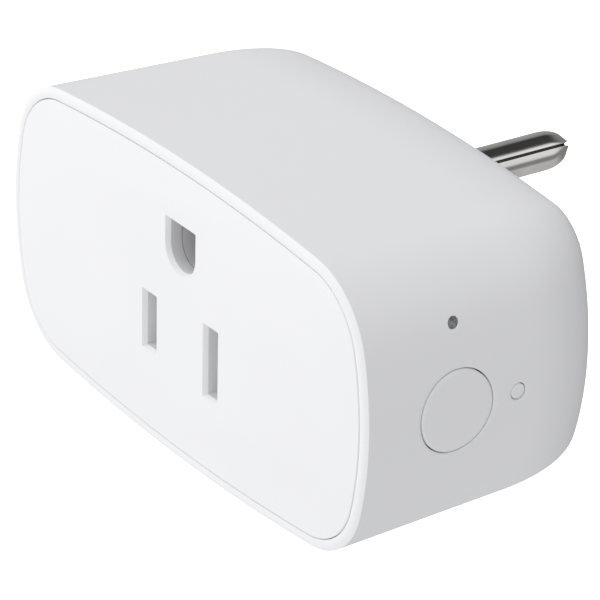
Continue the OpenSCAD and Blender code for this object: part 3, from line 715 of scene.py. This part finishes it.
WHITE = (0.886, 0.889, 0.904)
MATERIALS = {
    "shell_white": moulded("shell_white", WHITE, 0.46),
    # the face plate's openings get painted shade on their walls, at 0.86 of the colour
    "plate_white": moulded("plate_white", shade(WHITE, 1.005), 0.44, grain_mm=0.24, recess=0.86),
    "button_white": moulded("button_white", WHITE, 0.42, grain_mm=0.2, depth_mm=0.003),
    "shutter_white": moulded("shutter_white", shade(WHITE, 0.97), 0.45),
    "light_lens": light_glass("light_lens"),
    "inner_plastic": moulded("inner_plastic", (0.72, 0.72, 0.72), 0.5),
    "dark_plastic": moulded("dark_plastic", (0.035, 0.035, 0.038), 0.45, vary=0.25),
    "grey_plastic": moulded("grey_plastic", (0.20, 0.205, 0.21), 0.5, vary=0.12),
    "relay_blue": moulded("relay_blue", (0.03, 0.07, 0.22), 0.4, vary=0.15),
    "film_yellow": moulded("film_yellow", (0.72, 0.47, 0.06), 0.4, vary=0.1),
    "varistor_blue": moulded("varistor_blue", (0.02, 0.05, 0.32), 0.35, 0.6, depth_mm=0.02, vary=0.2),
    "fuse_green": moulded("fuse_green", (0.03, 0.20, 0.08), 0.3, vary=0.2),
    "sleeve_black": moulded("sleeve_black", (0.02, 0.02, 0.04), 0.25, vary=0.2),
    "chip_black": moulded("chip_black", (0.022, 0.022, 0.024), 0.55, grain_mm=0.12, depth_mm=0.005, vary=0.2),
    "led_clear": moulded("led_clear", (0.85, 0.84, 0.68), 0.2, vary=0.1),
    "spring_steel": drawn_metal("spring_steel", (0.56, 0.56, 0.57), 0.25, (1, 1, 1)),
    # the pin's seam groove gets painted shade
    "nickel_plate": drawn_metal("nickel_plate", (0.80, 0.79, 0.775), 0.17, (1, 0.03, 1), seam=True),
    "screw_steel": drawn_metal("screw_steel", (0.55, 0.55, 0.56), 0.32, (1, 0.4, 1), vary=0.18),
    "shunt_alloy": drawn_metal("shunt_alloy", (0.46, 0.42, 0.38), 0.35, (0.05, 1, 1)),
    "contact_brass": sheet_metal("contact_brass", (0.78, 0.56, 0.26)),
    "shield_tin": sheet_metal("shield_tin", (0.66, 0.66, 0.67), 0.3),
    "board_green": circuit_board("board_green", (0.012, 0.09, 0.035)),
    "copper_wire": wound_wire("copper_wire", (0.62, 0.24, 0.09), 0.32, "Z"),
    "tape_yellow": wrapped_tape("tape_yellow", (0.75, 0.60, 0.08)),
    "core_iron": dull_core("core_iron", (0.06, 0.06, 0.065)),
}


def dress(obj, slot):
    obj.data.materials.clear()
    obj.data.materials.append(MATERIALS[slot])


SLOT_OF = {part["node"]: part["material_slot"] for part in frame["record"]["subparts"]}
BODY_OF = {node: body for body, nodes in frame["record"]["behaviour"]["bodies"].items() for node in nodes}
for node, obj in frame["nodes"].items():
    dress(obj, SLOT_OF[node])


def stands_for(piece, node):
    """Gives a piece the material, the body and the place of the CAD node that it replaces."""
    dress(piece, SLOT_OF[node])
    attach(piece, BODY_OF[node])
    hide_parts(node)


stands_for(make_shell(), "housing_shell")
stands_for(make_plate(), "front_plate")

# Each cap's foot steps out to a flange that keeps it in the case, and ends where its CAD node does.
button_r, button_end = BUTTON_R - 0.15, cad("main_button")[0][0]
button = side_cap(
    "button_cap", BUTTON_Y, BUTTON_Z, button_r, 0.14,
    [(33.3, button_r), (33.3, 5.7), (32.6, 5.7), (32.6, 1.5), (button_end, 1.5), (button_end, 0.4)])
stands_for(soften(button), "main_button")

reset_r, reset_end = RESET_R - 0.12, cad("reset_button")[0][0]
forward, raised = 0.06, 0.03
reset = side_cap(
    "reset_cap", RESET_Y - forward, BUTTON_Z + raised, reset_r, 0.1,
    [(33.1, reset_r), (33.1, 1.6), (32.5, 1.6), (32.5, reset_r), (reset_end, 0.9), (reset_end, 0.3)])
stands_for(soften(reset), "reset_button")

light_r, light_end = LIGHT_R - 0.04, cad("light_pipe")[0][0]
light = side_cap(
    "light_window", BUTTON_Y, LIGHT_Z, light_r, 0.08,
    [(31.4, light_r), (31.4, 1.3), (light_end + 0.1, 1.3), (light_end, 1.2), (light_end, 0.3)], drop=0.06)
stands_for(soften(light), "light_pipe")

stands_for(make_pin(), "ground_pin")
for name, (x, w) in BLADES.items():
    stands_for(make_blade("blade_" + name, x, w), name + "_blade")
stands_for(make_screws(), "case_screws")


# ---------- studio ----------
FLOOR_Z = shell_low[2] - 0.02
FLOOR_HALF = 6000
corners = [(x * FLOOR_HALF, y * FLOOR_HALF, FLOOR_Z) for x, y in ((-1, -1), (1, -1), (1, 1), (-1, 1))]
floor = new_object("studio_floor", corners, [(0, 1, 2, 3)])
glow = {"Base_Color": (1, 1, 1, 1), "Emission_Color": (1, 1, 1, 1), "Emission_Strength": 1.0}
floor.data.materials.append(Paint("pale_floor", 0.9, **glow).mat)
floor.visible_diffuse = False
floor.visible_glossy = False
floor.visible_shadow = False


def soft_light(name, towards, distance, size, power):
    """A round area light that shines on the object from the direction given; distance and size in metres."""
    light = bpy.data.lights.new(name, "AREA")
    light.shape = "DISK"
    light.size = size
    light.energy = power
    obj = bpy.data.objects.new(name, light)
    obj.location = Vector(towards).normalized() * distance
    obj.rotation_euler = obj.location.to_track_quat("Z", "Y").to_euler()
    bpy.context.scene.collection.objects.link(obj)
    obj.visible_camera = False
    obj.visible_glossy = False


soft_light("top_light", (-0.30, -0.25, 1.0), 1.3, 0.9, 3.2)

# In front the sky is white, and greyer towards the right. Behind the object it has the bands that a metal pin
# shows, and straight behind it is an even grey.
FRONT_SKY = {"left": 1.07, "right": 0.68}
FAR_BEHIND = 0.25
# angle round Y from +X towards +Z, in degrees, and the brightness there
BACK_SKY = [(-180, 0.42), (-110, 0.50), (-44, 0.55), (-34, 0.24), (-14, 0.24), (-4, 0.84), (56, 0.92),
            (66, 0.045), (122, 0.04), (136, 0.30), (180, 0.42)]


def mixed(tree, factor, a, b):
    """Colour a where the factor is 0, and b where it is 1."""
    node = tree.nodes.new("ShaderNodeMix")
    node.data_type = "RGBA"
    for socket, value in (("Factor", factor), ("A", a), ("B", b)):
        if isinstance(value, tuple):
            node.inputs[socket].default_value = value
        else:
            tree.links.new(value, node.inputs[socket])
    return node.outputs["Result"]


def light_sky():
    """The world's colour by view direction: front, then bands behind, then the even grey far behind."""
    world = bpy.data.worlds.new("studio_sky")
    world.use_nodes = True
    bpy.context.scene.world = world
    sky = world.node_tree
    view = axes(sky, sky.nodes.new("ShaderNodeTexCoord").outputs["Generated"])
    angle = calc(sky, "ARCTAN2", view["Z"], view["X"])
    turn = calc(sky, "ADD", calc(sky, "DIVIDE", angle, 2 * math.pi), 0.5)
    bands = ramp(sky, turn, [((degrees + 180) / 360, (level,) * 3) for degrees, level in BACK_SKY])
    front = mapped(sky, view["X"], (-0.1, 0.9), (FRONT_SKY["left"], FRONT_SKY["right"]))
    near = mixed(sky, mapped(sky, view["Y"], (0.05, 0.35), smooth=True), front, bands)
    far = mapped(sky, view["Y"], (0.62, 0.85), smooth=True)
    whole = mixed(sky, far, near, (FAR_BEHIND, FAR_BEHIND, FAR_BEHIND, 1))
    sky.links.new(whole, sky.nodes["Background"].inputs["Color"])


light_sky()
bpy.context.scene.view_settings.view_transform = "Standard"


# ---------- camera ----------
# angles in degrees, lengths in millimetres, all solved from the photo's outlines
CAMERA_AZ, CAMERA_EL, CAMERA_ROLL = 55.58, 26.17, 1.205
CAMERA_DISTANCE, CAMERA_LENS, SENSOR_W = 516.75, 267.67, 36.0
TARGET = (-5.379, FRONT_Y + 20.0, -5.813)


def look_camera():
    az, el, roll = map(math.radians, (CAMERA_AZ, CAMERA_EL, CAMERA_ROLL))
    back = Vector((math.sin(az) * math.cos(el), -math.cos(az) * math.cos(el), math.sin(el)))
    right = Vector((0, 0, 1)).cross(back).normalized()
    up = back.cross(right)
    right_rolled = math.cos(roll) * right + math.sin(roll) * up
    up_rolled = math.cos(roll) * up - math.sin(roll) * right
    camera = bpy.data.cameras.new("camera")
    camera.lens = CAMERA_LENS
    camera.sensor_width = SENSOR_W
    camera.clip_start, camera.clip_end = 0.01, 50
    obj = bpy.data.objects.new("camera", camera)
    place = (Vector(TARGET) + back * CAMERA_DISTANCE) * MM
    turn = Matrix((right_rolled, up_rolled, back)).transposed().to_4x4()
    obj.matrix_world = Matrix.Translation(place) @ turn
    bpy.context.scene.collection.objects.link(obj)
    bpy.context.scene.camera = obj


look_camera()
